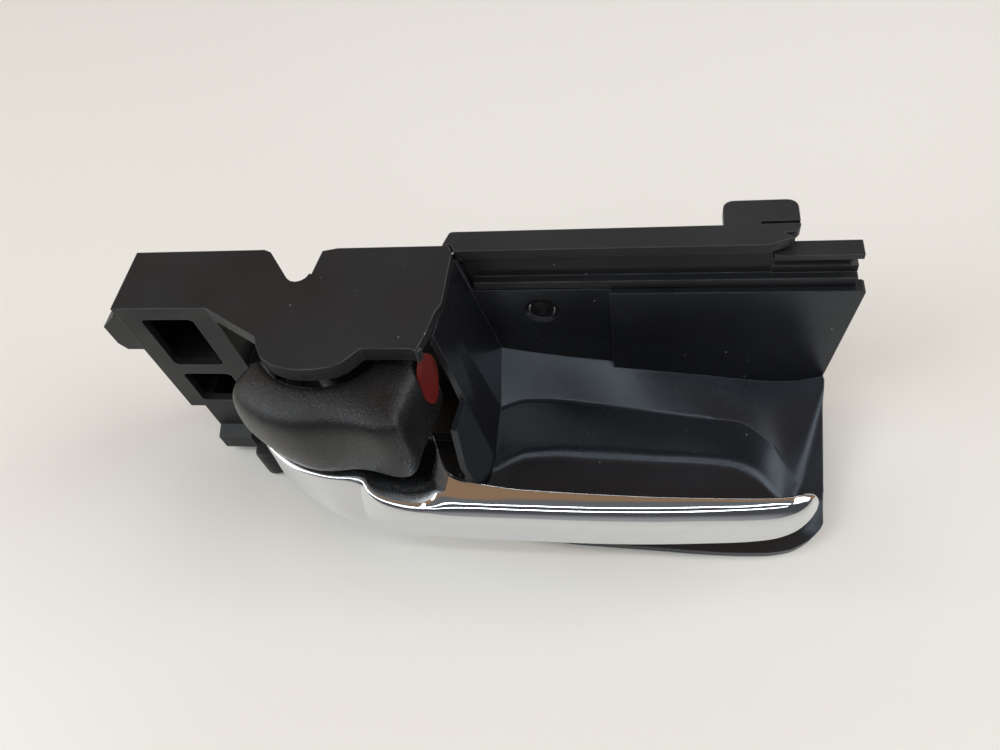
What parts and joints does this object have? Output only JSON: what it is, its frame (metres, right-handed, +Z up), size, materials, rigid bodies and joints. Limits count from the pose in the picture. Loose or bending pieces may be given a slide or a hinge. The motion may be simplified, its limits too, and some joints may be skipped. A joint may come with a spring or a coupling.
{
  "type": "inside door handle",
  "caption": "Car inside door handle: chrome pull lever and textured lock knob with a red flag on one upright pin, in a black base with a finger bowl.",
  "frame": {"origin": "centre of the bounding box in plan, at its lowest point, where the part stands", "axes": "+X along the handle from the pin to the grip's tip, +Y towards the door panel, +Z up the pivot pin"},
  "size_m": [0.1994, 0.0724, 0.069],
  "materials": {
    "frame_plastic": "fine grained matte black",
    "rail_plastic": "satin black",
    "bowl_plastic": "semi-gloss black",
    "knob_plastic": "leather-grained black",
    "hub_plastic": "natural moulded",
    "bush_plastic": "smooth off-white acetal",
    "chrome": "bright plated",
    "steel": "bright drawn",
    "zinc": "zinc plated",
    "rubber": "matte",
    "flag_red": "smooth red",
    "black_steel": "black phosphate"
  },
  "bodies": {
    "housing": {"base_frame": "frame_plastic", "trim_rail": "rail_plastic", "finger_bowl": "bowl_plastic", "pivot_pin": "steel", "pin_clip": "steel", "return_spring": "steel", "detent_spring": "steel", "screw_bush": "black_steel", "lever_bumper": "rubber", "knob_bumper": "rubber", "rear_pad": "rubber", "frame_screw_lower": "zinc", "frame_screw_upper": "zinc"},
    "lever": {"lever_grip": "chrome", "lever_carrier": "hub_plastic", "lever_bush": "bush_plastic", "lever_cable_clip": "bush_plastic", "carrier_screw": "zinc"},
    "lock": {"lock_knob": "knob_plastic", "red_flag": "flag_red", "lock_hub": "hub_plastic", "knob_bush": "bush_plastic", "lock_rod_clip": "bush_plastic"}
  },
  "joints": [
    {"name": "lever_pivot", "type": "hinge", "parent": "housing", "child": "lever", "pos_m": [-0.03435, 0.00364, 0.028], "axis": [0, 0, 1], "range_deg": [-25, 0], "stiffness_Nm_per_rad": 0.4, "springref_deg": 11.46},
    {"name": "lock_pivot", "type": "hinge", "parent": "housing", "child": "lock", "pos_m": [-0.03435, 0.00364, 0.048], "axis": [0, 0, 1], "range_deg": [0, 11]}
  ]
}
